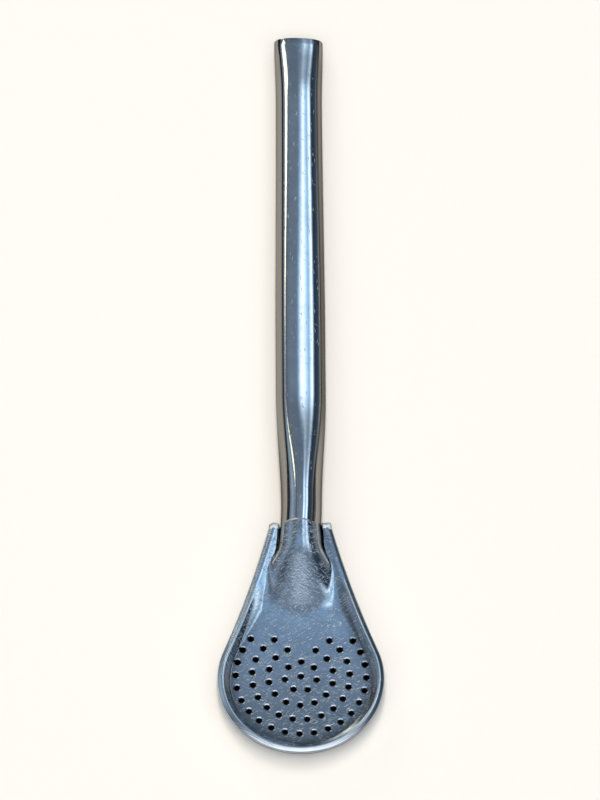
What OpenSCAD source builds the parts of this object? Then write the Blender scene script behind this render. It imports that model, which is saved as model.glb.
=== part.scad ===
// Bombilla: a flattened steel drinking tube in a spoon-shaped strainer head.
// The head is two stamped shells. The back shell's edge is rolled over the flange
// of the perforated front shell, and the two shells grip the round neck of the stem.
// The part lies on its back: +Y runs from the head to the mouth, +Z out of the front.

/* [Overall] */
// Length from the tip of the head to the end of the mouth
length = 175.5; // [150:0.5:200]

/* [Head outline] */
// Radius of the round end of the head, over the rolled rim
head_r = 18; // [16:0.5:20]
// Length of the head from its tip to the ends of the rolled rim at the neck
head_len = 55.3; // [52:0.5:60]
// Room from the neck of the stem to the rim's outline, at the rim's ends
ear_room = 2.3; // [2.2:0.1:3]
// Extra turn of the round end before the sides leave it, which makes them hollow
side_flare = 3.8; // [2:0.2:6]

/* [Head shells] */
// Thickness of the stamped sheet
sheet_t = 0.5; // [0.4:0.05:0.6]
// Gap left between touching sheets and round the stem
fit_gap = 0.03; // [0.02:0.01:0.05]
// Inside radius of the rolled rim, in sheet thicknesses
roll_room = 0.7; // [0.65:0.05:0.8]
// Flat of the back shell between the rolled rim and its wall
back_flat = 0.15; // [0.1:0.05:0.3]
// Slope of the back shell's wall, in degrees from upright
back_draft = 25; // [20:1:30]
// Depth of the back shell's floor below its trough round the neck
floor_step = 0.07; // [0.05:0.01:2]
// Distance from the rim's ends down to where the back shell's end ramp meets the flange
ramp_set = 3.8; // [3:0.1:5]
// Slope of that end ramp, in degrees from flat
ramp_slope = 40; // [30:1:60]
// Depth of the perforated plate below the front shell's flange
recess = 1.1; // [0.8:0.1:1.4]
// Slope of the wall round the perforated plate, in degrees from upright
recess_draft = 45; // [30:1:50]
// Gap between the walls of the two shells at the seam
nest_gap = 0.07; // [0.05:0.01:0.3]

/* [Tongue of the front shell] */
// Distance from the rim's ends down to the top edge of the half collar
collar_set = 1.1; // [0.6:0.1:2]
// Length of the half collar
collar_len = 5.7; // [4.5:0.1:6.5]
// Gap from the tongue's arch to the edge of the flange at the collar's foot
shoulder_gap = 0.15; // [0.1:0.05:0.5]
// Half of the arc of stem that the collar's top edge covers, in degrees
collar_arc = 68; // [60:1:75]
// Radius of the tongue's arch where it runs out into the plate
tongue_tip_r = 27; // [24:1:36]
// Distance from the middle of the holes to where the tongue runs out
tongue_gap = 7.2; // [7:0.1:9]
// Gap beside the neck between the stem and the front shell's flange
neck_slit = 0.35; // [0.2:0.05:0.5]

/* [Perforation] */
// Diameter of a hole
hole_d = 1.4; // [1:0.1:1.8]
// Distance from one ring of holes to the next
ring_pitch = 3.5; // [3:0.1:4]
// Number of holes that each ring adds to the one inside it
ring_holes = 7; // [6:1:8]
// Middle of the pattern, from the middle of the round end towards the neck
pattern_shift = 0.8; // [0:0.1:1]
// Turn of the whole pattern
pattern_turn = -1.5; // [-3:0.5:3]

/* [Stem] */
// Wall of the stem tube
stem_wall = 0.5; // [0.4:0.05:0.7]
// Diameter of the round neck
neck_d = 8.8; // [8:0.1:10]
// Length of round neck that shows above the head
neck_len = 4.7; // [3:0.1:8]
// Length over which the neck opens out into the flattened stem
flare_len = 27; // [20:1:35]
// Width of the flattened stem where it is widest
belly_w = 10.8; // [10:0.1:12]
// Thickness of the flattened stem where it is widest
belly_t = 6.4; // [6:0.1:8]
// Length of the widest stretch
belly_len = 13; // [8:1:20]
// Width of the stem at its waist below the mouth
waist_w = 10.05; // [9:0.05:11]
// Thickness of the stem at its waist
waist_t = 6.2; // [5.8:0.1:7]
// Width of the mouth
mouth_w = 10.6; // [10:0.1:12]
// Thickness of the mouth
mouth_t = 5.8; // [5.4:0.1:7]
// Length of the mouth, from the waist to the end
mouth_len = 14.5; // [10:0.5:20]

/* [Solder] */
// Length of the solder fillet at each side of the neck
solder_len = 1.6; // [1:0.1:2]

/* [Hidden] */
$fn = 128;
// Sides of the circles that need more or fewer of them: the long hollow sides, the roll, the holes
side_sides = 6 * $fn;
roll_sides = 32;
hole_sides = 24;

steel = "lightsteelblue";
bright_steel = "silver";
solder_grey = "gainsboro";

// How far a cutter runs past the face that it opens
past = 1;
// How far sheets run into each other where they join
lap = sheet_t / 2;
// How far the tongue and the collar run into each other at their crease
crease_lap = 0.4;
// Farther out than any point of the head
far = 2 * head_r;

// Sizes that the neck shares between the stem and both shells
neck_r = neck_d / 2;
socket_r = neck_r + fit_gap;
collar_r = socket_r + sheet_t;

// The part is centred on its length, with the back shell's floor on z = 0
tip_y = -length / 2;
back_depth = collar_r + floor_step;
axis_z = back_depth;

// Middle of the head's round end
head_y = head_r;
// Straight line from the neck to the round end, then the extra turn past its touching point
ear_x = neck_r + ear_room;
ear_dy = head_len - head_y;
touch_angle = atan2(ear_dy, ear_x) - acos(head_r / norm([ear_x, ear_dy]));
side_angle = touch_angle + side_flare;
// Hollow side: an arc that touches the round end from outside and ends at the neck
side_dir = [cos(side_angle), sin(side_angle)];
to_round = -(ear_x * side_dir[0] + ear_dy * side_dir[1]);
side_r = -(ear_x ^ 2 + ear_dy ^ 2 + 2 * head_r * to_round + head_r ^ 2) / (2 * (to_round + head_r));
side_x = (head_r + side_r) * side_dir[0];
side_y = head_y + (head_r + side_r) * side_dir[1];
side_start = atan2(head_len - side_y, ear_x - side_x) + 360;
side_turn = 180 + side_angle - side_start;

// Heights from the stem's axis, where the two flanges meet
seam = 0;
front_low = seam + fit_gap;
front_high = front_low + sheet_t;
plate_high = front_high - recess;
plate_low = plate_high - sheet_t;

// The rolled rim stands a hair below the flange and turns in until it meets the front flange.
// The roll grows out of the back shell's flange at the root angle
roll_r = roll_room * sheet_t;
bead_r = roll_r + sheet_t;
bead_z = seam + roll_r - fit_gap;
lip_angle = asin((front_high + fit_gap - bead_z) / roll_r);
root_angle = -65;
root_lap = roll_r / 4;
// A sleeve inside the sheet joins the stretches of the roll
joint_gap = fit_gap / 2;
sleeve_thin = fit_gap;
sleeve_turn = 5;

// Distances in from the outline to the rim's lip and to the top of each shell's wall
lip_inset = bead_r * (1 + cos(lip_angle));
back_inset = bead_r + back_flat;
recess_inset = back_inset + sheet_t / cos(back_draft) + sheet_t / cos(recess_draft)
    - front_high * tan(recess_draft) + nest_gap;
plate_inset = recess_inset + recess * tan(recess_draft);

// Places along the part, from the tip of the head
ramp_top = head_len - ramp_set;
collar_top = head_len - collar_set;
collar_foot = collar_top - collar_len;
pattern_s = head_y + pattern_shift;
tongue_tip = pattern_s + tongue_gap;
stem_foot = collar_foot + fit_gap;
neck_end = head_len + neck_len;
belly_start = neck_end + flare_len;
belly_end = belly_start + belly_len;
waist_s = length - mouth_len;

// As many rings of holes as the plate has room for
ring_room = head_r - plate_inset - hole_d / 2 - pattern_shift * sin(side_angle);
ring_count = floor(ring_room / ring_pitch);

// The tongue's arch at the collar's foot: as high as the collar, and nearly as wide as the recess
foot_half_w = side_x - sqrt((side_r + recess_inset) ^ 2 - (collar_foot - side_y) ^ 2) - shoulder_gap;
foot_rise = collar_r - front_high;
shoulder_r = (foot_rise ^ 2 + foot_half_w ^ 2) / (2 * foot_rise);

// The stem falls from the neck to the mouth, so that its lower lip lies on the table
waist_share = (waist_s - neck_end) / (length - neck_end);
stem_drop = min(axis_z - mouth_t / 2, (axis_z - waist_t / 2) / waist_share);

// The solder fills the corner between the stem and the rim's lip
solder_r = ear_room - lip_inset / abs(cos(side_start)) - fit_gap;

// How square each section of the stem is: 2 is round, and more is flatter
round_power = 2;
belly_power = 2.5;
waist_power = 2.3;
mouth_power = 3;
stem_sides = 48;
stem_step = 5;

function ease(t) = let (c = max(0, min(1, t))) c * c * (3 - 2 * c);
function mix(a, b, t) = a + (b - a) * ease(t);

// Positions left out of a ring of holes at the tongue: none, one, three, seven
function blank_holes(ring) = 2 ^ (ring - 1) - 1;

// Half width, half thickness and squareness of the stem at a distance from the tip
neck_section = [neck_r, neck_r, round_power];
belly_section = [belly_w / 2, belly_t / 2, belly_power];
waist_section = [waist_w / 2, waist_t / 2, waist_power];
mouth_section = [mouth_w / 2, mouth_t / 2, mouth_power];
function stem_section(s) =
    s < belly_start ? mix(neck_section, belly_section, (s - neck_end) / (belly_start - neck_end))
    : s < waist_s ? mix(belly_section, waist_section, (s - belly_end) / (waist_s - belly_end))
    : mix(waist_section, mouth_section, (s - waist_s) / mouth_len);
function stem_fall(s) = let (t = max(0, s - neck_end) / (length - neck_end)) stem_drop * t;

// One corner of a section: a circle drawn out into a flattened round
function squared(v, power) = sign(v) * abs(v) ^ (2 / power);
function stem_ring(s, inset) = let (section = stem_section(s)) [
    for (i = [0 : stem_sides - 1]) let (a = 360 * i / stem_sides) [
        (section[0] - inset) * squared(cos(a), section[2]),
        s,
        (section[1] - inset) * squared(sin(a), section[2]) - stem_fall(s)
    ]
];

// Moves a piece drawn from the tip and the axis to its place in the part
module placed() {
    translate([0, tip_y, axis_z]) children();
}

// The fan between the round end and the neck, which the hollow sides are cut from
module side_fan() {
    polygon([
        [0, head_y], far * side_dir + [0, head_y], [far, head_len],
        [-far, head_len], [-far * side_dir[0], far * side_dir[1] + head_y]
    ]);
}

// The head's outline drawn in by inset: a round end with two hollow sides
module head_region(inset) {
    translate([0, head_y]) circle(r = head_r - inset);
    difference() {
        side_fan();
        for (side = [-1, 1])
            translate([side * side_x, side_y]) circle(r = side_r + inset, $fn = side_sides);
    }
}

// The same outline as a solid with sloped walls, from inset low_in up to inset high_in
module head_block(low_in, high_in, low, high) {
    translate([0, head_y, low]) cylinder(r1 = head_r - low_in, r2 = head_r - high_in, h = high - low);
    difference() {
        translate([0, 0, low]) linear_extrude(high - low) side_fan();
        for (side = [-1, 1])
            translate([side * side_x, side_y, low])
                cylinder(r1 = side_r + low_in, r2 = side_r + high_in, h = high - low, $fn = side_sides);
    }
}

// Sweeps a profile along the rim: x is the distance in from the outline, y the height.
// Its three stretches stop a hair short of each other
module rim_sweep() {
    stop = joint_gap / head_r * 180 / PI;
    side_stop = joint_gap / side_r * 180 / PI;
    translate([0, head_y, 0]) rotate([0, 0, 180 - side_angle + stop])
        rotate_extrude(angle = 180 + 2 * (side_angle - stop))
            translate([head_r, 0]) mirror([1, 0]) children();
    for (side = [0, 1]) mirror([side, 0, 0])
        translate([side_x, side_y, 0]) rotate([0, 0, side_start])
            rotate_extrude(angle = side_turn - side_stop, $fn = side_sides)
                translate([side_r, 0]) children();
}

// Carries a profile a little way to both sides of the place where the rim's sides leave its round end
module rim_sleeve() {
    for (side = [0, 1]) mirror([side, 0, 0])
        translate([0, head_y, 0]) rotate([0, 0, side_angle]) translate([head_r, 0, 0]) rotate([90, 0, 0])
            linear_extrude(2 * sheet_t, center = true) mirror([1, 0]) children();
}

// The rolled edge of the back shell: it starts in the flange and turns in over the front shell
module bead_profile(thinner, shorter) {
    lip = lip_angle + shorter;
    root = root_angle - shorter;
    translate([bead_r, bead_z]) difference() {
        circle(r = bead_r - thinner, $fn = roll_sides);
        circle(r = roll_r + thinner, $fn = roll_sides);
        polygon([
            [0, 0], 2 * bead_r * [cos(lip), sin(lip)],
            [4 * bead_r, 0], 2 * bead_r * [cos(root), sin(root)]
        ]);
    }
}

// The hollow of the back shell, or with grow of one sheet its outside
module back_hollow(grow, top) {
    floor_z = sheet_t - grow - back_depth;
    slope = tan(back_draft);
    wall = back_inset + (sheet_t - grow) / cos(back_draft);
    difference() {
        head_block(wall - slope * floor_z, wall - slope * top, floor_z, top);
        translate([0, ramp_top - (sheet_t - grow) / sin(ramp_slope), 0]) rotate([-ramp_slope, 0, 0])
            translate([-far, 0, -far]) cube([2 * far, far, 2 * far]);
    }
}

// A round bar along the neck, from one distance from the tip to another
module neck_bar(r, from, to) {
    translate([0, to, 0]) rotate([90, 0, 0]) cylinder(r = r, h = to - from);
}

// Everything above a height
module above(height) {
    translate([-far, -far, height]) cube([2 * far, 4 * far, far]);
}

module back_shell() {
    neck_from = ramp_top - 2 * back_depth;
    color(steel) placed() difference() {
        union() {
            rim_sweep() bead_profile(0, 0);
            rim_sleeve() bead_profile(sleeve_thin, sleeve_turn);
            translate([0, 0, seam - sheet_t]) linear_extrude(sheet_t) head_region(bead_r - root_lap);
            back_hollow(sheet_t, seam - lap);
            difference() {
                neck_bar(collar_r, neck_from, head_len);
                above(seam - lap);
            }
        }
        back_hollow(0, seam + lap);
        neck_bar(socket_r, neck_from, head_len + past);
    }
}

// Part of the tongue: an arch whose radius and top change evenly from one place to another.
// A cutter is thinner by a sheet, and runs on before its start and after its end
module arch(from, to, from_r, to_r, from_top, to_top, thinner, before, after) {
    function at(s, a, b) = a + (b - a) * (from - s) / (from - to);
    start = from + before;
    end = to - after;
    start_z = at(start, from_top - from_r, to_top - to_r);
    end_z = at(end, from_top - from_r, to_top - to_r);
    fall = (start_z - end_z) / (start - end);
    translate([0, start, start_z])
        multmatrix([[1, 0, 0, 0], [0, 1, 0, 0], [0, fall, 1, 0], [0, 0, 0, 1]]) rotate([90, 0, 0])
            cylinder(
                r1 = at(start, from_r, to_r) - thinner,
                r2 = at(end, from_r, to_r) - thinner,
                h = start - end
            );
}

// The collar: it hugs the stem at its top edge and spreads below it at the same height
module collar_arch(thinner, before, after) {
    arch(collar_top, collar_foot, collar_r, shoulder_r, collar_r, collar_r, thinner, before, after);
}

// The tongue below the collar: it falls and spreads until it runs out into the plate
module tongue_arch(thinner, before) {
    arch(collar_foot, tongue_tip, shoulder_r, tongue_tip_r, collar_r, plate_high, thinner, before, past);
}

module perforation() {
    for (ring = [0 : ring_count]) {
        count = max(1, ring_holes * ring);
        for (i = [0 : count - 1]) if (2 * min(i, count - i) >= blank_holes(ring))
            translate([0, pattern_s, plate_low - lap]) rotate(90 + pattern_turn + 360 * i / count)
                translate([ring * ring_pitch, 0, 0])
                    cylinder(d = hole_d, h = sheet_t + 2 * lap, $fn = hole_sides);
    }
}

// The pan of the front shell, or with grow of one sheet its underside
module front_pan(grow, top) {
    slope = tan(recess_draft);
    wall = recess_inset - grow / cos(recess_draft);
    difference() {
        head_block(plate_inset + slope * grow - grow / cos(recess_draft), wall + slope * (front_high - top),
            plate_high - grow, top);
        translate([-far, collar_foot + crease_lap, -far]) cube([2 * far, far, 2 * far]);
    }
}

module front_filter_shell() {
    collar_low = collar_r * cos(collar_arc);
    collar_slope = atan((collar_low - front_low - lap) / (collar_top - collar_foot));
    color(bright_steel) placed() {
        // Flange and perforated pan, open under the tongue and round the neck
        difference() {
            union() {
                translate([0, 0, front_low]) linear_extrude(sheet_t) head_region(bead_r);
                front_pan(sheet_t, front_low + lap);
            }
            front_pan(0, front_high + lap);
            neck_bar(neck_r + neck_slit, collar_foot - past, head_len + past);
            tongue_arch(lap, crease_lap / 2);
            collar_arch(lap, past, crease_lap / 2);
            perforation();
        }
        // Tongue
        difference() {
            intersection() {
                tongue_arch(0, crease_lap);
                front_pan(lap, 2 * collar_r);
            }
            tongue_arch(sheet_t, 2 * crease_lap);
        }
        // Half collar
        difference() {
            intersection() {
                collar_arch(0, 0, crease_lap);
                translate([0, collar_top, collar_low]) rotate([collar_slope, 0, 0]) above(0);
            }
            collar_arch(sheet_t, past, 2 * crease_lap);
        }
    }
}

module stem_tube() {
    stations = [for (s = [stem_foot : stem_step : length - stem_step / 2]) s, length];
    count = len(stations);
    rings = [
        for (s = stations) stem_ring(s, 0),
        for (i = [count - 1 : -1 : 0]) stem_ring(stations[i], stem_wall)
    ];
    around = 2 * count;
    function corner(i, j) = (i % around) * stem_sides + j % stem_sides;
    color(bright_steel) placed() polyhedron(
        points = [for (ring = rings) each ring],
        faces = [
            for (i = [0 : around - 1], j = [0 : stem_sides - 1]) each [
                [corner(i, j), corner(i, j + 1), corner(i + 1, j + 1)],
                [corner(i, j), corner(i + 1, j + 1), corner(i + 1, j)]
            ]
        ]
    );
}

module neck_solder() {
    color(solder_grey) placed() for (side = [0, 1]) mirror([side, 0, 0])
        translate([0, head_len, 0]) rotate([90, 0, 0]) linear_extrude(solder_len) difference() {
            translate([0, front_high + fit_gap]) square([neck_r + solder_r, solder_r]);
            circle(r = socket_r);
            translate([neck_r + solder_r, front_high + fit_gap + solder_r]) circle(r = solder_r);
        }
}

stem_tube();
front_filter_shell();
back_shell();
neck_solder();
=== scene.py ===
import math
import bmesh
import bpy
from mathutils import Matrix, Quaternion, Vector


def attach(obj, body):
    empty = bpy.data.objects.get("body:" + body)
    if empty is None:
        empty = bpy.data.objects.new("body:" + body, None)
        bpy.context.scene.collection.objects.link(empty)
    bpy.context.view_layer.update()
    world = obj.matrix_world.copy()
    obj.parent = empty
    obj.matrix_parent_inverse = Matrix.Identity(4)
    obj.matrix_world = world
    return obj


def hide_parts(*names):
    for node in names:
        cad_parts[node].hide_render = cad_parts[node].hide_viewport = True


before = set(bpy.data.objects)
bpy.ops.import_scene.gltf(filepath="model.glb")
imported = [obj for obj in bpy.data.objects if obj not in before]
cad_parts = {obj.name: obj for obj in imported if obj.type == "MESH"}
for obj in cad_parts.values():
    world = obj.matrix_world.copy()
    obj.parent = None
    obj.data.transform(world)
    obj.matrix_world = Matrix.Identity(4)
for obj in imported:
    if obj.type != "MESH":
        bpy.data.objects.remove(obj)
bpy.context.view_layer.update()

# Back shell
# The real piece is one stamping of 0.5 mm stainless sheet: a shallow pan with
# sloped walls, whose edge is rolled over the front shell's flange as a bright
# round rim. A half trough at its narrow end carries the tube.
MM = 0.001
half_length, axis_height = 87.75, 5.0
head_r, head_len, ear_x = 18.0, 55.3, 6.7
# The round end goes on this many degrees past where a straight side would leave it, so that the
# sides are hollow.
round_past = 3.8
# Each flange's outer face lies a sheet and half the gap between the shells from the axis plane.
sheet, half_gap = 0.5, 0.03
flange_z = sheet + half_gap
# Outside radius of the trough and of the half collar, which lie round the neck of the tube.
seat_r = 4.93
# Where the pan's wall and its ramp meet the axis plane, the wall's lean from upright and the ramp's
# rise in degrees, where the trough starts, and how far each bend reaches.
wall_inset, wall_lean = 1.0, 25
ramp_end, ramp_rise, trough_from = 51.5, 40, 42
flange_bend, floor_bend, ramp_bend, trough_bend = 0.5, 1.6, 0.6, 0.7


def place(x, s, z):
    """A point in metres from its place across, its distance from the head's tip and its height over
    the axis plane, all in mm."""
    return Vector((x, s - half_length, z + axis_height)) * MM


def plan(v):
    """A point's place across and its distance from the head's tip, in mm."""
    return v.x / MM, v.y / MM + half_length


def soft_max(a, b, reach):
    """The larger of two heights, with a round fillet where they cross."""
    near = max(reach - abs(a - b), 0) / reach
    return max(a, b) + near * near * reach / 4


def soft_min(a, b, reach):
    """The smaller of two heights, with the same fillet."""
    return -soft_max(-a, -b, reach)


def ease(value, start, end):
    """A smooth step from 0 at the start to 1 at the end."""
    t = min(max((value - start) / (end - start), 0), 1)
    return t * t * (3 - 2 * t)


# Each hollow side is an arc that touches the round end and ends at the ear.
ear_rise = head_len - head_r
side_angle = (math.atan2(ear_rise, ear_x) - math.acos(head_r / math.hypot(ear_x, ear_rise))
              + math.radians(round_past))
toward = -(ear_x * math.cos(side_angle) + ear_rise * math.sin(side_angle))
side_r = (-(ear_x ** 2 + ear_rise ** 2 + 2 * head_r * toward + head_r ** 2)
          / (2 * (toward + head_r)))
side_x = (head_r + side_r) * math.cos(side_angle)
side_s = head_r + (head_r + side_r) * math.sin(side_angle)


def outline(inset, side_steps=64, round_steps=96):
    """The head's right half outline from ear to tip: a hollow side, then the round end."""
    r = side_r + inset
    start = math.pi + math.asin((side_s - head_len) / r)
    pts = []
    for i in range(side_steps):
        a = start + (math.pi + side_angle - start) * i / side_steps
        pts.append((side_x + r * math.cos(a), side_s + r * math.sin(a)))
    for i in range(round_steps):
        a = side_angle - (side_angle + math.pi / 2) * i / round_steps
        pts.append(((head_r - inset) * math.cos(a), head_r + (head_r - inset) * math.sin(a)))
    return pts + [(0.0, inset)]


def inset_at(x, s):
    """How far inside the head's outline a point lies."""
    x = abs(x)
    if math.atan2(s - head_r, x) < side_angle:
        return head_r - math.hypot(x, s - head_r)
    return math.hypot(x - side_x, s - side_s) - side_r


def back_height(x, s):
    """Underside of the back shell: flange, sloped wall, flat floor, ramp and trough."""
    wall = (wall_inset - inset_at(x, s)) / math.tan(math.radians(wall_lean))
    pan = soft_max(-axis_height, soft_min(-flange_z, wall, flange_bend), floor_bend)
    climb = (s - ramp_end) * math.tan(math.radians(ramp_rise))
    pan = soft_min(-flange_z, soft_max(pan, climb, floor_bend), ramp_bend)
    if s > trough_from and abs(x) < seat_r:
        pan = soft_min(pan, -math.sqrt(seat_r ** 2 - x * x), trough_bend)
    return max(pan, -axis_height)


def next_row(bm, chain, closed=False):
    """Extrudes a chain of vertices by one row and returns the new chain in the same order."""
    pairs = zip(chain, chain[1:] + chain[:1] if closed else chain[1:])
    edges = [next(e for e in a.link_edges if e.other_vert(a) is b) for a, b in pairs]
    made = bmesh.ops.extrude_edge_only(bm, edges=edges)["geom"]
    fresh = {g for g in made if isinstance(g, bmesh.types.BMVert)}
    return [next(e.other_vert(v) for e in v.link_edges if e.other_vert(v) in fresh) for v in chain]


# Each vertex keeps its distance from the ear along the rim, in mm, and its row.
bm = bmesh.new()
along = bm.verts.layers.float.new("along")
around = bm.verts.layers.float.new("around")
# The roll is pressed so that its top leans outward: two round bends with a flat between them.
# The lip's end, the lean and the other turns are in degrees.
roll_r, roll_lean, roll_flat, roll_z, lip_end = 0.6, 24, 0.6, 0.15, 62
lean = math.radians(roll_lean)
flat_turn, under_turn = 90 + roll_lean, 270
rows = []
for start, end, steps, shift in ((lip_end, flat_turn, 9, roll_flat), (flat_turn, under_turn, 17, 0.0)):
    for i in range(steps + 1):
        a = math.radians(start + (end - start) * i / steps)
        rows.append((roll_r + shift * math.cos(lean) + roll_r * math.cos(a),
                     roll_z + shift * math.sin(lean) + roll_r * math.sin(a)))
# Below the roll the rows follow the pan by their inset, closest where it bends.
rows += [(u, None) for u in (1.0, 1.1, 1.2, 1.3, 1.45, 1.6, 1.8, 2.0, 2.2, 2.4, 2.6, 2.8, 3.0, 3.15,
                             3.3, 3.45, 3.6, 3.75, 3.9, 4.1, 4.4, 4.8, 5.4, 6.2)]
for k, (u, z) in enumerate(rows):
    pts = outline(u)
    if k == 0:
        chain = [bm.verts.new(place(*p, 0)) for p in pts]
        for pair in zip(chain, chain[1:]):
            bm.edges.new(pair)
    else:
        chain = next_row(bm, chain)
    run = 0.0
    for i, (v, (x, s)) in enumerate(zip(chain, pts)):
        run += math.hypot(x - pts[i - 1][0], s - pts[i - 1][1]) if i else 0.0
        v.co = place(x, s, back_height(x, s) if z is None else z)
        v[along], v[around] = run, k
floor_rows = 12
for step in range(1, floor_rows + 1):
    chain = next_row(bm, chain)
    for v, (x, s) in zip(chain, pts):
        x *= 1 - step / floor_rows
        v.co = place(x, s, back_height(x, s))
        v[around] = len(rows)
bmesh.ops.mirror(bm, geom=bm.verts[:] + bm.edges[:] + bm.faces[:], axis="X", merge_dist=1e-6)
bmesh.ops.remove_doubles(bm, verts=bm.verts, dist=2e-6)
bmesh.ops.dissolve_degenerate(bm, dist=1e-7, edges=bm.edges)
bmesh.ops.recalc_face_normals(bm, faces=bm.faces)
if min(bm.faces, key=lambda f: f.calc_center_median().z).normal.z > 0:
    bmesh.ops.reverse_faces(bm, faces=bm.faces)


def piece(bm, name, material):
    """Makes the object of a finished mesh, smooth shaded, riding on the part's one body."""
    mesh = bpy.data.meshes.new(name)
    bm.to_mesh(mesh)
    bm.free()
    mesh.polygons.foreach_set("use_smooth", [True] * len(mesh.polygons))
    mesh.materials.append(material)
    obj = bpy.data.objects.new(name, mesh)
    bpy.context.scene.collection.objects.link(obj)
    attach(obj, "root")
    return obj


def colour(hex_text, gain=1.0):
    """An sRGB hex colour as linear values."""
    parts = [int(hex_text[i:i + 2], 16) / 255 for i in (1, 3, 5)]
    return [gain * (c / 12.92 if c <= 0.04045 else ((c + 0.055) / 1.055) ** 2.4) for c in parts] + [1.0]


def add(tree, kind, links=None, values=None, **settings):
    """Adds a node with its settings, links and constants by input, and returns its outputs."""
    n = tree.nodes.new(kind)
    for key, value in settings.items():
        setattr(n, key, value)
    for key, value in (values or {}).items():
        n.inputs[key].default_value = value
    for key, socket in (links or {}).items():
        tree.links.new(socket, n.inputs[key])
    return n.outputs


def steel(name, tint, stain, rough, hair, depth, scuffed, directions):
    """Polished metal: smudged tint and gloss, short hairline scratches, specks and soft waves.

    Smudges go from the tint to the stain and dull the gloss. A scratch adds hair to the roughness
    and is depth metres deep, and scuffed is the share of places that have one. Returns the material
    and the outputs of its colour, its relief and its millimetre coordinates, so that a piece can
    lay its own marks, painted shade and painted reflections over them."""
    # Smudges are about 4.5 mm wide, and the swells that the polishing left about 3 mm.
    smudges_per_mm, swells_per_mm, swell_depth = 0.22, 0.35, 1e-5
    # A smudge sets in over this range of its noise, and a full one is this many times as rough.
    smudge_low, smudge_high, smudge_dull = 0.3, 0.7, 1.6
    # Lengths and widths in mm. Real scratches are finer, and these are wide enough to show.
    scratch_long, scratch_wide, speck_long, speck_wide = 1.2, 0.09, 0.2, 0.16
    m = bpy.data.materials.new(name)
    m.use_nodes = True
    t = m.node_tree
    shader = t.nodes["Principled BSDF"]
    shader.inputs["Metallic"].default_value = 1.0
    metres = add(t, "ShaderNodeTexCoord")["Object"]
    mm = add(t, "ShaderNodeVectorMath", {0: metres}, {1: (1000, 1000, 1000)}, operation="MULTIPLY")[0]
    smudge = add(t, "ShaderNodeTexNoise", {"Vector": mm}, {"Scale": smudges_per_mm, "Detail": 5.0})[0]
    # Each mark is a short straight dash, in some of the cells of a stretched cell pattern. It fills
    # its cell out to mark_edge from the middle, and is deepest within mark_full. Each kind of mark is
    # shifted, so that the cells of two kinds don't line up.
    mark_edge, mark_full = 0.4, 0.15
    marks = None
    kinds = [(turn, scratch_long, scratch_wide, scuffed) for turn in directions]
    kinds.append((0, speck_long, speck_wide, scuffed / 3))
    for k, (turn, dash, width, share) in enumerate(kinds):
        turned = add(t, "ShaderNodeMapping", {"Vector": mm},
                     {"Rotation": (0, 0, math.radians(turn)), "Location": (3.1 * k, 7.7 * k, 0)})[0]
        thin = add(t, "ShaderNodeMapping", {"Vector": turned},
                   {"Scale": (2 * mark_edge / dash, 2 * mark_edge / width, 0.0)})[0]
        cell = add(t, "ShaderNodeTexVoronoi", {"Vector": thin}, {"Scale": 1.0, "Randomness": 0.8})
        near = add(t, "ShaderNodeMapRange", {"Value": cell["Distance"]},
                   {"From Min": mark_edge, "From Max": mark_full})[0]
        pick = add(t, "ShaderNodeMath", {0: cell["Color"]}, {1: share}, operation="LESS_THAN")[0]
        cut = add(t, "ShaderNodeMath", {0: near, 1: pick}, operation="MULTIPLY")[0]
        if marks is None:
            marks = cut
        else:
            marks = add(t, "ShaderNodeMath", {0: marks, 1: cut}, operation="MAXIMUM")[0]
    tone = add(t, "ShaderNodeMapRange", {"Value": smudge},
               {"From Min": smudge_low, "From Max": smudge_high})[0]
    base = add(t, "ShaderNodeMix", {"Factor": tone}, {6: colour(tint), 7: colour(stain)},
               data_type="RGBA")[2]
    t.links.new(base, shader.inputs["Base Color"])
    gloss = add(t, "ShaderNodeMapRange", {"Value": smudge},
                {"From Min": smudge_low, "From Max": smudge_high,
                 "To Min": rough, "To Max": rough * smudge_dull})[0]
    gloss = add(t, "ShaderNodeMath", {0: marks, 2: gloss}, {1: hair}, operation="MULTIPLY_ADD")[0]
    t.links.new(gloss, shader.inputs["Roughness"])
    swell = add(t, "ShaderNodeTexNoise", {"Vector": mm}, {"Scale": swells_per_mm, "Detail": 2.0})[0]
    wave = add(t, "ShaderNodeBump", {"Height": swell}, {"Strength": 1.0, "Distance": swell_depth})[0]
    relief = add(t, "ShaderNodeBump", {"Height": marks, "Normal": wave},
                 {"Strength": 1.0, "Distance": depth})[0]
    t.links.new(relief, shader.inputs["Normal"])
    return m, base, relief, mm


# Polished stainless sheet gives a pale mirror with slightly soft reflections and a few scratches.
back_steel, base, relief = steel("stainless_sheet_polished_back", "#dde4ec", "#ccd4dd", 0.08, 0.16,
                                 1e-5, 0.1, (15, 80, -50))[:3]
t = back_steel.node_tree
shader = t.nodes["Principled BSDF"]
# The roller that closed the rim left fine slanted nicks on the bead. Their pitch is in mm, their
# slant in mm per row and their depth in metres. Row 17 lies at the bead's outer edge.
nick_pitch, nick_slant, nick_depth, bead_dull = 0.45, 0.06, 2.2e-5, 0.05
last_full_row, last_row = 17.0, 20.0
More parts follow.
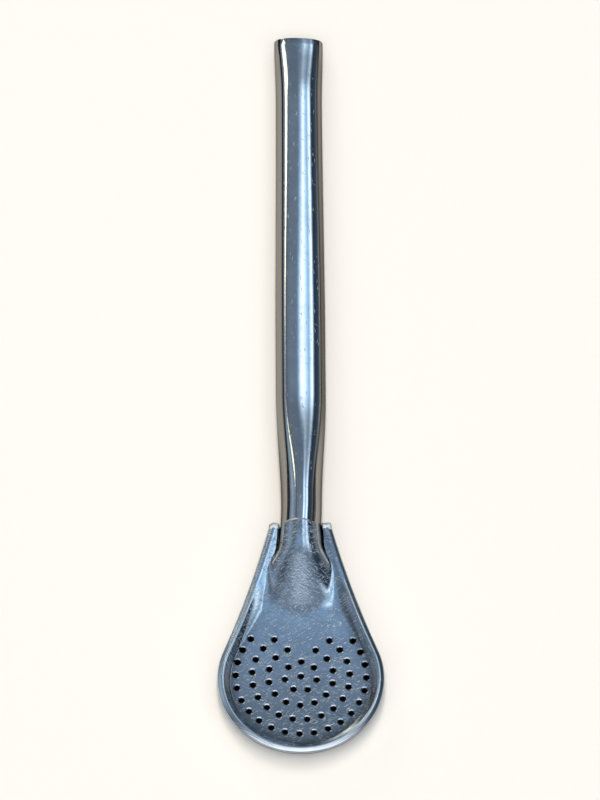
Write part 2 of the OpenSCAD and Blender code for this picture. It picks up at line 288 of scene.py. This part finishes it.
# The nicks are full up to a distance from the ear, and a fifth of that on the round end.
side_full, side_end, end_share = 20.0, 34.0, 0.2
from_ear = add(t, "ShaderNodeAttribute", attribute_name="along")["Fac"]
row = add(t, "ShaderNodeAttribute", attribute_name="around")["Fac"]
slant = add(t, "ShaderNodeMath", {0: row, 2: from_ear}, {1: nick_slant}, operation="MULTIPLY_ADD")[0]
comb = add(t, "ShaderNodeMath", {0: slant}, {1: 2 * math.pi / nick_pitch}, operation="MULTIPLY")[0]
comb = add(t, "ShaderNodeMath", {0: comb}, operation="SINE")[0]
on_bead = add(t, "ShaderNodeMapRange", {"Value": row},
              {"From Min": last_row, "From Max": last_full_row})[0]
on_side = add(t, "ShaderNodeMapRange", {"Value": from_ear},
              {"From Min": side_end, "From Max": side_full, "To Min": end_share})[0]
nicks = add(t, "ShaderNodeMath", {0: comb, 1: on_bead}, operation="MULTIPLY")[0]
nicks = add(t, "ShaderNodeMath", {0: nicks, 1: on_side}, operation="MULTIPLY")[0]
nicked = add(t, "ShaderNodeBump", {"Height": nicks, "Normal": relief},
             {"Strength": 1.0, "Distance": nick_depth})[0]
t.links.new(nicked, shader.inputs["Normal"])
gloss = shader.inputs["Roughness"].links[0].from_socket
gloss = add(t, "ShaderNodeMath", {0: on_bead, 2: gloss}, {1: bead_dull}, operation="MULTIPLY_ADD")[0]
t.links.new(gloss, shader.inputs["Roughness"])
# A thin brown line on the outer edge of the bead is a painted reflection of the shaded floor, fading in
# and out over these rows.
line_start, line_full, line_fade, line_end, line_share = 14.0, 16.5, 19.0, 22.0, 0.9
rise = add(t, "ShaderNodeMapRange", {"Value": row}, {"From Min": line_start, "From Max": line_full})[0]
fall = add(t, "ShaderNodeMapRange", {"Value": row}, {"From Min": line_end, "From Max": line_fade})[0]
rim_line = add(t, "ShaderNodeMath", {0: rise, 1: fall}, operation="MULTIPLY")[0]
rim_line = add(t, "ShaderNodeMath", {0: rim_line}, {1: line_share}, operation="MULTIPLY")[0]
painted_rim_base = add(t, "ShaderNodeMix", {"Factor": rim_line, 6: base}, {7: colour("#4a443d")},
              data_type="RGBA")[2]
t.links.new(painted_rim_base, shader.inputs["Base Color"])
edge = add(t, "ShaderNodeMix", {"Factor": rim_line}, {6: colour("#ffffff"), 7: colour("#5a554e")},
           data_type="RGBA")[2]
t.links.new(edge, shader.inputs["Specular Tint"])
# Inside, the sheet was never polished and tea has dulled it, and its dark colour is also painted shade,
# which keeps the holes dark.
dull_steel = steel("stainless_sheet_dull_inside", "#3a352f", "#2b2723", 0.5, 0.1,
                   8e-6, 0.1, (10, 70))[0]
back = piece(bm, "back_shell_sheet", back_steel)
back.data.materials.append(dull_steel)
shell = back.modifiers.new("sheet", "SOLIDIFY")
shell.thickness = sheet * MM
shell.offset = -1
shell.material_offset = 1
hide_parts("back_shell")

# Stem tube
# The real piece is a drawn stainless tube, round at the neck where both shells
# grip it, then pressed flat along the stem and flattest at the mouth.
stem_foot, neck_end, belly_start, length = 48.6, 60.0, 87.0, 175.5
# Distance from the tip, half width, half thickness, squareness, roll in degrees.
stations = [(neck_end, 4.4, 4.4, 2.0, 0.0), (belly_start, 5.4, 3.2, 2.5, 7.0),
            (100.0, 5.4, 3.2, 2.5, 7.0), (161.0, 5.02, 3.2, 2.3, 5.0), (length, 5.3, 2.6, 2.5, 4.0)]
tube_wall, lip = 0.5, 0.25
# The flanks are planes, in full where the squareness is full_power and none where the tube is round.
# Between two distances from the mouth they ease out by a share.
round_power, full_power = 2.0, 2.5
flank_slope, flank_bend = math.tan(math.radians(62)), 0.4
mouth_from, mouth_to, mouth_share = 7, 1, 0.8
# The crease lies in from the edge by a share of the half thickness. The painted reflection on the
# flank sets in across it over flank_reflection_edge, and the painted dark line lies line_shift outside
# it.
crease_share, flank_reflection_edge, line_shift, line_width = 0.405, 0.25, 0.02, 0.22
# The axis falls toward the mouth. Past the collar the tube strays to one side, and toward the mouth
# it comes back by a share.
axis_fall, stray_most, stray_from, stray_back = 1.7, 0.3, 52, 0.6


def section(s):
    """Half width, half thickness, squareness and roll of the tube at a distance from the tip."""
    for a, b in zip(stations, stations[1:]):
        if s <= b[0]:
            t = ease(s, a[0], b[0])
            return [p + (q - p) * t for p, q in zip(a[1:], b[1:])]


def ring_point(s, turn, thinner):
    """A point of the tube's outside or bore, and its shares of the flank's painted reflection and of the
    painted dark line at the crease.
    """
    w, h, power, roll = section(s)
    x = math.copysign(abs(math.cos(turn)) ** (2 / power), math.cos(turn))
    z = math.copysign(abs(math.sin(turn)) ** (2 / power), math.sin(turn))
    x, z = x * (w - thinner), z * (h - thinner)
    # The press left the flanks as slanted planes, which meet the crowned faces in a round crease.
    cut = soft_min(abs(z), (w - thinner - abs(x)) * flank_slope, flank_bend) - abs(z)
    planed = 1 - mouth_share * ease(s - length, -mouth_from, -mouth_to)
    z = math.copysign(abs(z) + cut * (power - round_power) / (full_power - round_power) * planed, z)
    crease = w - h * crease_share
    flank = ease((abs(x) - crease) / flank_reflection_edge + 0.5, 0, 1)
    line = math.exp(-((abs(x) - crease - line_shift) / line_width) ** 2)
    c, d = math.cos(math.radians(roll)), math.sin(math.radians(roll))
    beyond, stem_run = max(s - neck_end, 0), length - neck_end
    fall = -axis_fall * beyond / stem_run
    stray = stray_most * ease(s, stray_from, neck_end) * (1 - stray_back * beyond / stem_run)
    return place(x * c + z * d + stray, s, z * c - x * d + fall), flank, line


# Rings by distance from the tip and depth under the outside: neck, belly, stem, lip, then the bore.
path = [(stem_foot + (neck_end - stem_foot) * k / 6, 0.0) for k in range(7)]
path += [(neck_end + (belly_start - neck_end) * k / 27, 0.0) for k in range(1, 28)]
path += [(belly_start + (length - lip - belly_start) * k / 60, 0.0) for k in range(1, 61)]
path += [(length - lip + lip * math.sin(a), lip - lip * math.cos(a)) for a in
         [math.pi * k / 8 for k in range(1, 9)]]
path += [(length - lip - (length - lip - stem_foot) * k / 60, tube_wall) for k in range(1, 61)]
bm = bmesh.new()
reflection_layer = bm.verts.layers.float.new("flank")
dark_line_layer = bm.verts.layers.float.new("crease")
ring = bmesh.ops.create_circle(bm, segments=192, radius=1.0)["verts"]
ring.sort(key=lambda v: math.atan2(v.co.y, v.co.x) % (2 * math.pi))
for k, (s, thinner) in enumerate(path):
    if k:
        ring = next_row(bm, ring, closed=True)
    for i, v in enumerate(ring):
        v.co, v[reflection_layer], v[dark_line_layer] = ring_point(s, 2 * math.pi * i / len(ring), thinner)
bmesh.ops.bridge_loops(bm, edges=[e for e in bm.edges if e.is_boundary])
bmesh.ops.recalc_face_normals(bm, faces=bm.faces)
# Polished stainless tube is the glossiest piece, and gives crisp bands of light along its length.
stem_steel, base = steel("stainless_tube_polished", "#d2dae3", "#c0c8d1", 0.05, 0.14,
                         1.2e-5, 0.12, (80, 97, 30))[:2]
t = stem_steel.node_tree
shader = t.nodes["Principled BSDF"]
# A painted reflection of a brownish ground lies on the flanks, and a painted dark reflection runs along
# the crease beside them.
dark_line_share = 0.95
flank_reflection = add(t, "ShaderNodeAttribute", attribute_name="flank")["Fac"]
reflected_base = add(t, "ShaderNodeMix", {"Factor": flank_reflection, 6: base}, {7: colour("#979591")}, data_type="RGBA")[2]
# A painted dark reflection runs as a line along the crease.
dark_line = add(t, "ShaderNodeAttribute", attribute_name="crease")["Fac"]
dark_line = add(t, "ShaderNodeMath", {0: dark_line}, {1: dark_line_share}, operation="MULTIPLY")[0]
reflected_base = add(t, "ShaderNodeMix", {"Factor": dark_line, 6: reflected_base}, {7: colour("#14191e")},
             data_type="RGBA")[2]
t.links.new(reflected_base, shader.inputs["Base Color"])
edge = add(t, "ShaderNodeMix", {"Factor": flank_reflection}, {6: colour("#ffffff"), 7: colour("#888580")},
           data_type="RGBA")[2]
t.links.new(edge, shader.inputs["Specular Tint"])
stem = piece(bm, "stem_tube_drawn", stem_steel)
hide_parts("stem_tube")

# Front shell
# The real piece is one stamping of the same sheet: a flange held by the rolled
# rim, a recessed plate with 60 punched holes, and a tongue that rises from the
# plate to a half collar laid over the neck of the tube.
hole_r, hole_round = 0.64, 0.3
# One hole in the middle and four rings. The first ring is whole, and the others leave out 1, 3 and 7
# places where the tongue rises.
pattern_s, ring_step, pattern_turn = 19.05, 3.5, 88.5
holes = [(0.0, pattern_s)]
for ring_no in range(1, 5):
    amount, ring_r = 7 * ring_no, ring_step * ring_no
    for i in range(amount):
        if 2 * min(i, amount - i) >= 2 ** (ring_no - 1) - 1:
            a = math.radians(pattern_turn - 360 * i / amount)
            holes.append((ring_r * math.cos(a), pattern_s + ring_r * math.sin(a)))
# The recess wall: the inset where it starts, its fall per mm, and how much less that is at the tip
# and toward the ears, where the recess runs out.
recess_inset, wall_fall, less_at_tip, less_at_ears = 1.5, 0.78, 0.2, 0.35
# The plate: its level, its dish about dish_s, and its rise into the narrow end.
plate_z, dish, dish_s, dish_end, plate_rise = -0.5, 0.00175, 19, 34, 0.64
# The tongue is a round back. From the collar's top its radius grows slowly to the bend, then faster,
# and past flat_from it flattens out. Its crown falls from the bend on.
collar_top, collar_spread = 54.2, 0.09
bend_s, bend_r, tongue_fall = 48.5, 5.4, 0.344
flat_from, flatten = 42, 0.35
# How far the bends between these faces reach.
lip_bend, foot_bend, foot_more = 0.15, 0.12, 2.3
spread_bend, crown_bend, tongue_bend, tongue_less = 1.5, 0.9, 0.7, 0.45


def front_height(x, s):
    """Top of the front shell: flange, recess wall, plate, tongue and half collar."""
    u = inset_at(x, s)
    steep = wall_fall - less_at_tip * ease(s, 10, 2) - less_at_ears * ease(s, 34, 42)
    wall = soft_min(flange_z, flange_z - steep * (u - recess_inset), lip_bend)
    plate = plate_z + dish * (min(s, dish_end) - dish_s) ** 2 + plate_rise * ease(s, 36, 47)
    pan = soft_max(wall, plate, foot_bend + foot_more * ease(s, 24, 38))
    r = soft_max(seat_r + collar_spread * (collar_top - s), bend_r + (bend_s - s), spread_bend)
    r += flatten * max(flat_from - s, 0) ** 2
    crown = soft_min(seat_r, seat_r - tongue_fall * (bend_s - s), crown_bend)
    if abs(x) >= r:
        return pan
    back_line = crown - r + math.sqrt(r * r - x * x)
    return soft_max(pan, back_line, tongue_bend - tongue_less * ease(s, 44, 49))


def front_normal(x, s):
    """The way the front shell's top faces, from heights a small step apart."""
    d = 0.02
    gx = (front_height(x + d, s) - front_height(x - d, s)) / (2 * d)
    gs = (front_height(x, s + d) - front_height(x, s - d)) / (2 * d)
    return Vector((-gx, -gs, 1)).normalized()


# The sheet is laid out flat: rows by their inset down the recess wall, then a fill round the holes.
bm = bmesh.new()
for k, u in enumerate([0.9, 1.2, 1.35] + [1.45 + 0.1 * k for k in range(16)]):
    half = outline(u)
    pts = half + [(-x, s) for x, s in reversed(half[:-1])]
    if k == 0:
        chain = [bm.verts.new(place(*p, 0)) for p in pts]
        for pair in zip(chain, chain[1:]):
            bm.edges.new(pair)
    else:
        chain = next_row(bm, chain)
    for v, p in zip(chain, pts):
        v.co = place(*p, 0)
loops = [next(e for e in a.link_edges if e.other_vert(a) is b) for a, b in zip(chain, chain[1:])]
loops.append(bm.edges.new((chain[0], chain[-1])))
for x, s in holes:
    made = bmesh.ops.create_circle(bm, segments=28, radius=(hole_r + hole_round) * MM)["verts"]
    bmesh.ops.translate(bm, verts=made, vec=place(x, s, 0))
    loops += {e for v in made for e in v.link_edges}
bmesh.ops.triangle_fill(bm, use_beauty=True, use_dissolve=False, edges=loops)


def cut_plan(x, s, normal, test):
    """Cuts the faces that pass a test along an upright plane, to refine or to part the sheet."""
    parts = set()
    for f in bm.faces:
        if test(*plan(f.calc_center_bounds())):
            parts.update([f, *f.edges, *f.verts])
    bmesh.ops.bisect_plane(bm, geom=list(parts), dist=1e-8, plane_co=place(x, s, 0), plane_no=normal)


# A grid of cuts lets the tongue bend smoothly: its step, and where it starts along and across. It
# covers the sheet past tongue_from that lies in from the foot of the recess wall.
grid, grid_s, grid_x = 0.3, 24.1, -9.6
tongue_from, foot_inset = 23.8, 2.75


def on_tongue(x, s):
    """True on the tongue and on the plate beside it."""
    return s > tongue_from and inset_at(x, s) > foot_inset


for k in range(104):
    cut_plan(0, grid_s + grid * k, (0, 1, 0), on_tongue)
for k in range(65):
    cut_plan(grid_x + grid * k, 0, (1, 0, 0), on_tongue)
# Each slit is two lines, from the collar's top down to where the slit ends.
slits = [((-4.05, -4.6), (-4.85, -4.85), 48.1), ((4.8, 5.1), (4.92, 5.22), 49.5)]


def slit_x(ends, foot, s):
    """Where one line of a slit lies across, at a distance from the head's tip."""
    return ends[1] + (ends[0] - ends[1]) * (s - foot) / (collar_top - foot)


cut_plan(0, collar_top, (0, 1, 0), lambda x, s: s > 50)
for near, far, foot in slits:
    cut_plan(0, foot, (0, 1, 0), lambda x, s: s > 46)
    for ends in (near, far):
        cut_plan(ends[1], foot, (collar_top - foot, ends[1] - ends[0], 0),
                 lambda x, s: s > foot and x * ends[0] > 0)
(left_in, left_out, left_foot), (right_in, right_out, right_foot) = slits
gone = []
for f in bm.faces:
    x, s = plan(f.calc_center_median())
    in_left = s > left_foot and slit_x(left_out, left_foot, s) < x < slit_x(left_in, left_foot, s)
    in_right = s > right_foot and slit_x(right_in, right_foot, s) < x < slit_x(right_out, right_foot, s)
    over = s > collar_top and slit_x(left_out, left_foot, s) < x < slit_x(right_out, right_foot, s)
    if in_left or in_right or over:
        gone.append(f)
bmesh.ops.delete(bm, geom=gone, context="FACES")
bmesh.ops.delete(bm, geom=[v for v in bm.verts if not v.link_faces], context="VERTS")
bmesh.ops.dissolve_degenerate(bm, dist=1e-7, edges=bm.edges)
bmesh.ops.recalc_face_normals(bm, faces=bm.faces)
if next(iter(bm.faces)).normal.z < 0:
    bmesh.ops.reverse_faces(bm, faces=bm.faces)
# Then it is pressed up. Each vertex keeps its plan, so that the rings of a hole end on the underside,
# and its share of painted shade: the plate's edge along the recess wall, and the collar's sheer sides.
edge_share, sheer_from, sheer_over = 0.62, 0.82, 0.3
top_mark = bm.faces.layers.int.new("top")
corner = bm.verts.layers.float.new("corner")
seat = bm.verts.layers.float_vector.new("seat")
top_faces = set(bm.faces)
for v in bm.verts:
    x, s = plan(v.co)
    v[seat] = x, s, 0
    v.co = place(x, s, front_height(x, s))
    sheer = ease(sheer_from - front_normal(x, s).z, 0, sheer_over) * ease(s, 45, 49)
    u = inset_at(x, s)
    v[corner] = max(edge_share * ease(u, 5.2, 2.6) * ease(u - 2.2, 0, 0.6) * ease(s, 40, 30), sheer)
open_edges = [e for e in bm.edges if e.is_boundary]
under = bmesh.ops.duplicate(bm, geom=bm.faces[:] + bm.edges[:] + bm.verts[:])["geom"]
under_faces = [g for g in under if isinstance(g, bmesh.types.BMFace)]
for v in [g for g in under if isinstance(g, bmesh.types.BMVert)]:
    v.co -= front_normal(*plan(v.co)) * sheet * MM
bmesh.ops.reverse_faces(bm, faces=under_faces)


def hole_of(v):
    """The hole nearest to a vertex."""
    x, s = plan(v.co)
    return min(holes, key=lambda h: (h[0] - x) ** 2 + (h[1] - s) ** 2)


# Open edges that lie on a hole's outer ring get the punched edge, and the others a plain one.
ring_slack = 0.05
at_hole, at_edge = [], []
for e in open_edges:
    hx, hs = hole_of(e.verts[0])
    far = max(math.hypot(x - hx, s - hs) for x, s in (plan(v.co) for v in e.verts))
    (at_hole if far < hole_r + hole_round + ring_slack else at_edge).append(e)
# Each punched edge by its way in from the outer ring and its depth: a worn bevel, the wall, and out
# again to the underside.
punched = ((0.05, 0.015), (0.25, 0.14), (hole_round, 0.19), (hole_round, 0.42), (0, sheet))
for inward, drop in punched:
    made = bmesh.ops.extrude_edge_only(bm, edges=at_hole)["geom"]
    at_hole = [g for g in made if isinstance(g, bmesh.types.BMEdge) and g.is_boundary]
    for v in [g for g in made if isinstance(g, bmesh.types.BMVert)]:
        hx, hs = hole_of(v)
        x, s = v[seat].xy
        v.co = place(x, s, front_height(x, s)) - front_normal(x, s) * drop * MM
        v.co += Vector((hx - x, hs - s, 0)).normalized() * inward * MM
made = bmesh.ops.extrude_edge_only(bm, edges=at_edge)["geom"]
for v in [g for g in made if isinstance(g, bmesh.types.BMVert)]:
    v.co -= front_normal(*plan(v.co)) * sheet * MM
bmesh.ops.remove_doubles(bm, verts=bm.verts, dist=1e-6)
bmesh.ops.recalc_face_normals(bm, faces=bm.faces)
for f in bm.faces:
    f[top_mark] = f in top_faces
# Polished stainless sheet, the most worn piece, gives a bluish mirror broken up by short scratches.
front_steel, base, relief, mm = steel("stainless_sheet_polished_front", "#c2ceda", "#b0bdcb", 0.09, 0.2,
                                      3e-5, 0.3, (20, 50, -35))
t = front_steel.node_tree
shader = t.nodes["Principled BSDF"]
# The pressing crinkled the tongue's skin: an orange peel of about 0.6 mm, which sets in along the
# tongue, is weaker where the collar grips the tube, and fades out to both sides.
peel_per_mm, peel_depth = 1.7, 2.2e-5
peel_start, peel_full, grip_start, grip_end, grip_share = 31.75, 40.75, 47.75, 53.25, 0.3
crown_half, crown_edge = 3.5, 6.5
where = add(t, "ShaderNodeSeparateXYZ", {0: mm})
pressed = add(t, "ShaderNodeMapRange", {"Value": where["Y"]},
              {"From Min": peel_start - half_length, "From Max": peel_full - half_length})[0]
gripped = add(t, "ShaderNodeMapRange", {"Value": where["Y"]},
              {"From Min": grip_end - half_length, "From Max": grip_start - half_length,
               "To Min": grip_share})[0]
pressed = add(t, "ShaderNodeMath", {0: pressed, 1: gripped}, operation="MULTIPLY")[0]
aside = add(t, "ShaderNodeMath", {0: where["X"]}, operation="ABSOLUTE")[0]
on_crown = add(t, "ShaderNodeMapRange", {"Value": aside},
               {"From Min": crown_edge, "From Max": crown_half})[0]
pressed = add(t, "ShaderNodeMath", {0: pressed, 1: on_crown}, operation="MULTIPLY")[0]
peel = add(t, "ShaderNodeTexNoise", {"Vector": mm},
           {"Scale": peel_per_mm, "Detail": 1.0, "Distortion": 1.5})[0]
peel = add(t, "ShaderNodeMath", {0: peel, 1: pressed}, operation="MULTIPLY")[0]
crinkled = add(t, "ShaderNodeBump", {"Height": peel, "Normal": relief},
               {"Strength": 1.0, "Distance": peel_depth})[0]
t.links.new(crinkled, shader.inputs["Normal"])
# Painted shade darkens the plate's edge along the recess wall and the collar's sides, in colour and in
# the tint of their reflections.
painted_shade = add(t, "ShaderNodeAttribute", attribute_name="corner")["Fac"]
shaded_base = add(t, "ShaderNodeMix", {"Factor": painted_shade, 6: base}, {7: colour("#4a4f55")}, data_type="RGBA")[2]
t.links.new(shaded_base, shader.inputs["Base Color"])
edge = add(t, "ShaderNodeMix", {"Factor": painted_shade}, {6: colour("#ffffff"), 7: colour("#585d62")},
           data_type="RGBA")[2]
t.links.new(edge, shader.inputs["Specular Tint"])
front = piece(bm, "front_shell_sheet", front_steel)
# The top takes the true normals of its form, so that reflections run smoothly over the cuts.
mesh = front.data
is_top = [a.value for a in mesh.attributes["top"].data]
bent = []
for p in mesh.polygons:
    for k in p.vertices:
        bent.append(front_normal(*plan(mesh.vertices[k].co)) if is_top[p.index] else Vector((0, 0, 0)))
mesh.normals_split_custom_set(bent)
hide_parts("front_filter_shell")

# Solder
# The real pieces are beads of silver solder, run in between the tube and the
# ends of the rolled rim and along the collar's edge, left bright and uneven.
bm = bmesh.new()
# A pad at each end of the rim: its middle and half sizes in mm, its tilt, squareness and unevenness.
pad_x, pad_s, pad_z = 5.6, 54.5, 0.75
pad_half_x, pad_half_s, pad_half_z, pad_tilt = 1.2, 0.85, 0.5, 0.36
pad_square, uneven = 0.7, 0.05
# The bead along the collar's edge, with its turn about the tube in degrees.
bead_s, bead_half_s, bead_r, bead_half_r = 54.35, 0.55, 4.4, 0.22
bead_turn, bead_half_turn = -10, 40
for side in (-1, 1):
    for v in bmesh.ops.create_uvsphere(bm, u_segments=32, v_segments=20, radius=1.0)["verts"]:
        x, y, z = v.co
        x, y, z = (math.copysign(abs(c) ** pad_square, c) for c in (x, y, z))
        wob = 1 + uneven * math.sin(5 * x + 2 * side) * math.cos(4 * y)
        v.co = place(side * (pad_x + pad_half_x * x * wob), pad_s + pad_half_s * y * wob,
                     pad_z + (pad_half_z * z + pad_tilt * y) * wob)
for v in bmesh.ops.create_uvsphere(bm, u_segments=48, v_segments=16, radius=1.0)["verts"]:
    x, y, z = v.co
    a = math.radians(bead_turn + bead_half_turn * x)
    r = bead_r + bead_half_r * z
    v.co = place(r * math.sin(a), bead_s + bead_half_s * y, r * math.cos(a))
bmesh.ops.recalc_face_normals(bm, faces=bm.faces)
# Silver solder, left as it ran, is whiter and duller than the polished steel, with a soft glow.
solder_metal = steel("silver_solder_bright", "#e6e6e2", "#d2d2ce", 0.3, 0.1, 8e-6, 0.1, (40, -20))[0]
solder = piece(bm, "solder_beads", solder_metal)
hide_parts("neck_solder")

# Stage
# A plain pale floor, a long soft lamp overhead for the floor's light and the contact
# shadow, two small warm lamps that the steel mirrors, and a soft surround with one
# bright strip. The camera stands far off with a long lens, which gives one scale all over.
bm = bmesh.new()
bmesh.ops.create_grid(bm, x_segments=1, y_segments=1, size=3.0)
mesh = bpy.data.meshes.new("floor")
bm.to_mesh(mesh)
bm.free()
# Matt cream paper is an even pale ground without gloss.
paper = bpy.data.materials.new("paper_matt_cream")
paper.use_nodes = True
matt = paper.node_tree.nodes["Principled BSDF"].inputs
matt["Base Color"].default_value = colour("#fefbf5")
matt["Roughness"].default_value = 1.0
matt["Specular IOR Level"].default_value = 0.0
mesh.materials.append(paper)
floor = bpy.data.objects.new("floor", mesh)
bpy.context.scene.collection.objects.link(floor)

# Name, place and size in metres, power in watts, tint, and whether the steel mirrors it.
lamps = [("overhead_soft", (0.0, -0.12, 1.15), (0.2, 1.15), 7.6, "#fff3e5", False),
         ("warm_mouth", (-0.42, 0.61, 0.672), (0.24, 0.14), 0.27, "#fff0c8", True),
         ("warm_low", (-0.38, 0.84, 0.39), (0.24, 0.24), 0.8, "#fff0d0", True)]
for name, stand, size, power, tint, mirrored in lamps:
    lamp = bpy.data.lights.new(name, "AREA")
    lamp.shape = "RECTANGLE"
    lamp.size, lamp.size_y = size
    lamp.energy = power
    lamp.color = colour(tint)[:3]
    obj = bpy.data.objects.new(name, lamp)
    obj.location = stand
    obj.rotation_mode = "QUATERNION"
    obj.rotation_quaternion = (-Vector(stand)).to_track_quat("-Z", "Y")
    obj.visible_glossy = mirrored
    bpy.context.scene.collection.objects.link(obj)

world = bpy.data.worlds.new("studio_surround")
bpy.context.scene.world = world
world.use_nodes = True
t = world.node_tree
way = add(t, "ShaderNodeSeparateXYZ", {0: add(t, "ShaderNodeTexCoord")["Generated"]})
tilt = add(t, "ShaderNodeMath", {0: way["X"], 1: way["Z"]}, operation="ARCTAN2")[0]
tilt = add(t, "ShaderNodeMath", {0: tilt}, operation="DEGREES")[0]
# The room's colours, each stop with its value, colour, gain and share.
# From the front, over the top, to the back: bright window side, slate ceiling, dim back wall.
depth_stops = [
    (-1.0, "#565b62", 1, 1), (-0.76, "#565b62", 1, 1), (-0.68, "#f6faff", 1.6, 1),
    (-0.26, "#f6faff", 1.6, 1), (-0.17, "#8b98a6", 1, 1), (0.0, "#8a98a6", 1, 1),
    (0.2, "#97b3d0", 1, 1), (0.34, "#9cb9d6", 1, 1), (0.474, "#8b9aab", 1, 1), (0.53, "#75818c", 1, 1),
    (0.59, "#74828f", 1, 1), (0.8, "#39424c", 1, 1), (0.95, "#5c5a57", 1, 1)]
# From left to right over the back half: dim wall, slate, one bright strip window, dark wall.
band_stops = [
    (-90, "#8a7f74", 1, 1), (-78, "#77777a", 1, 1), (-64, "#8f9aa6", 1, 1), (-50, "#a9bccf", 1, 1),
    (-38, "#8f9aa5", 1, 1), (-28, "#6a7279", 1, 0.95), (-10, "#7c8896", 1, 0), (6, "#8fa8c4", 1, 0),
    (10, "#a8cef4", 1.0, 1), (14, "#f0faff", 2.0, 1), (19, "#cdeaff", 1.4, 1), (24, "#a9dbff", 1.0, 1),
    (29, "#e6f6ff", 1.7, 1), (33, "#f0faff", 2.0, 1), (37, "#9fbad6", 1, 1), (41, "#313c48", 1, 1),
    (60, "#46525e", 1, 1), (70, "#868b90", 1, 1), (84, "#9a958f", 1, 1)]
# Left and right of the middle the room is dim.
side_stops = [
    (-90, "#3a4048", 1, 1), (-40, "#4a535d", 1, 1), (-14, "#7c8896", 1, 0), (14, "#7c8896", 1, 0),
    (40, "#36404b", 1, 1), (90, "#36404b", 1, 1)]
ramps = []
for factor, low, high, stops in ((way["Y"], -1, 1, depth_stops), (tilt, -90, 90, band_stops),
                                 (tilt, -90, 90, side_stops)):
    part = add(t, "ShaderNodeMapRange", {"Value": factor}, {"From Min": low, "From Max": high})[0]
    ramp = add(t, "ShaderNodeValToRGB", {"Fac": part})
    elements = ramp[0].node.color_ramp.elements
    while len(elements) < len(stops):
        elements.new(0.5)
    for element, (value, hex_text, gain, alpha) in zip(elements, stops):
        element.position = (value - low) / (high - low)
        element.color = colour(hex_text, gain)[:3] + [alpha]
    ramps.append(ramp)
depth, bands, sides = ramps
# The bands come in behind the object and get weaker lower down the back wall.
behind = add(t, "ShaderNodeMapRange", {"Value": way["Y"]}, {"From Min": 0.0, "From Max": 0.2})[0]
short = add(t, "ShaderNodeMapRange", {"Value": way["Y"]},
            {"From Min": 0.6, "From Max": 0.515, "To Min": 0.25})[0]
behind = add(t, "ShaderNodeMath", {0: behind, 1: short}, operation="MULTIPLY")[0]
share = add(t, "ShaderNodeMath", {0: behind, 1: bands["Alpha"]}, operation="MULTIPLY")[0]
# The dim sides hold from the bright window back, and far out to the sides everywhere.
level = add(t, "ShaderNodeMapRange", {"Value": way["Y"]}, {"From Min": -0.3, "From Max": -0.15})[0]
dim = add(t, "ShaderNodeMath", {0: level, 1: sides["Alpha"]}, operation="MULTIPLY")[0]
wide = add(t, "ShaderNodeMath", {0: tilt}, operation="ABSOLUTE")[0]
wide = add(t, "ShaderNodeMapRange", {"Value": wide}, {"From Min": 38.0, "From Max": 58.0})[0]
dim = add(t, "ShaderNodeMath", {0: dim, 1: wide}, operation="MAXIMUM")[0]
room = add(t, "ShaderNodeMix", {"Factor": dim, 6: depth["Color"], 7: sides["Color"]}, data_type="RGBA")[2]
sky = add(t, "ShaderNodeMix", {"Factor": share, 6: room, 7: bands["Color"]}, data_type="RGBA")[2]
t.links.new(sky, t.nodes["Background"].inputs["Color"])

# Lens and sensor in mm, the view's height at the target in metres, and the camera's two angles.
lens, sensor, view_height = 800.0, 36, 0.17293
elevation, camera_roll = math.radians(61.7), math.radians(-0.28)
target = Vector((0.00008, -0.00174, 0.005))
camera = bpy.data.objects.new("camera", bpy.data.cameras.new("camera"))
camera.data.lens = lens
camera.data.sensor_width = sensor
camera.data.clip_end = 100
back_way = Vector((0, -math.cos(elevation), math.sin(elevation)))
camera.location = target + back_way * view_height / sensor * lens
aim = (-back_way).to_track_quat("-Z", "Y")
camera.rotation_euler = (Quaternion(back_way, camera_roll) @ aim).to_euler()
bpy.context.scene.collection.objects.link(camera)
bpy.context.scene.camera = camera
bpy.context.scene.view_settings.view_transform = "Standard"
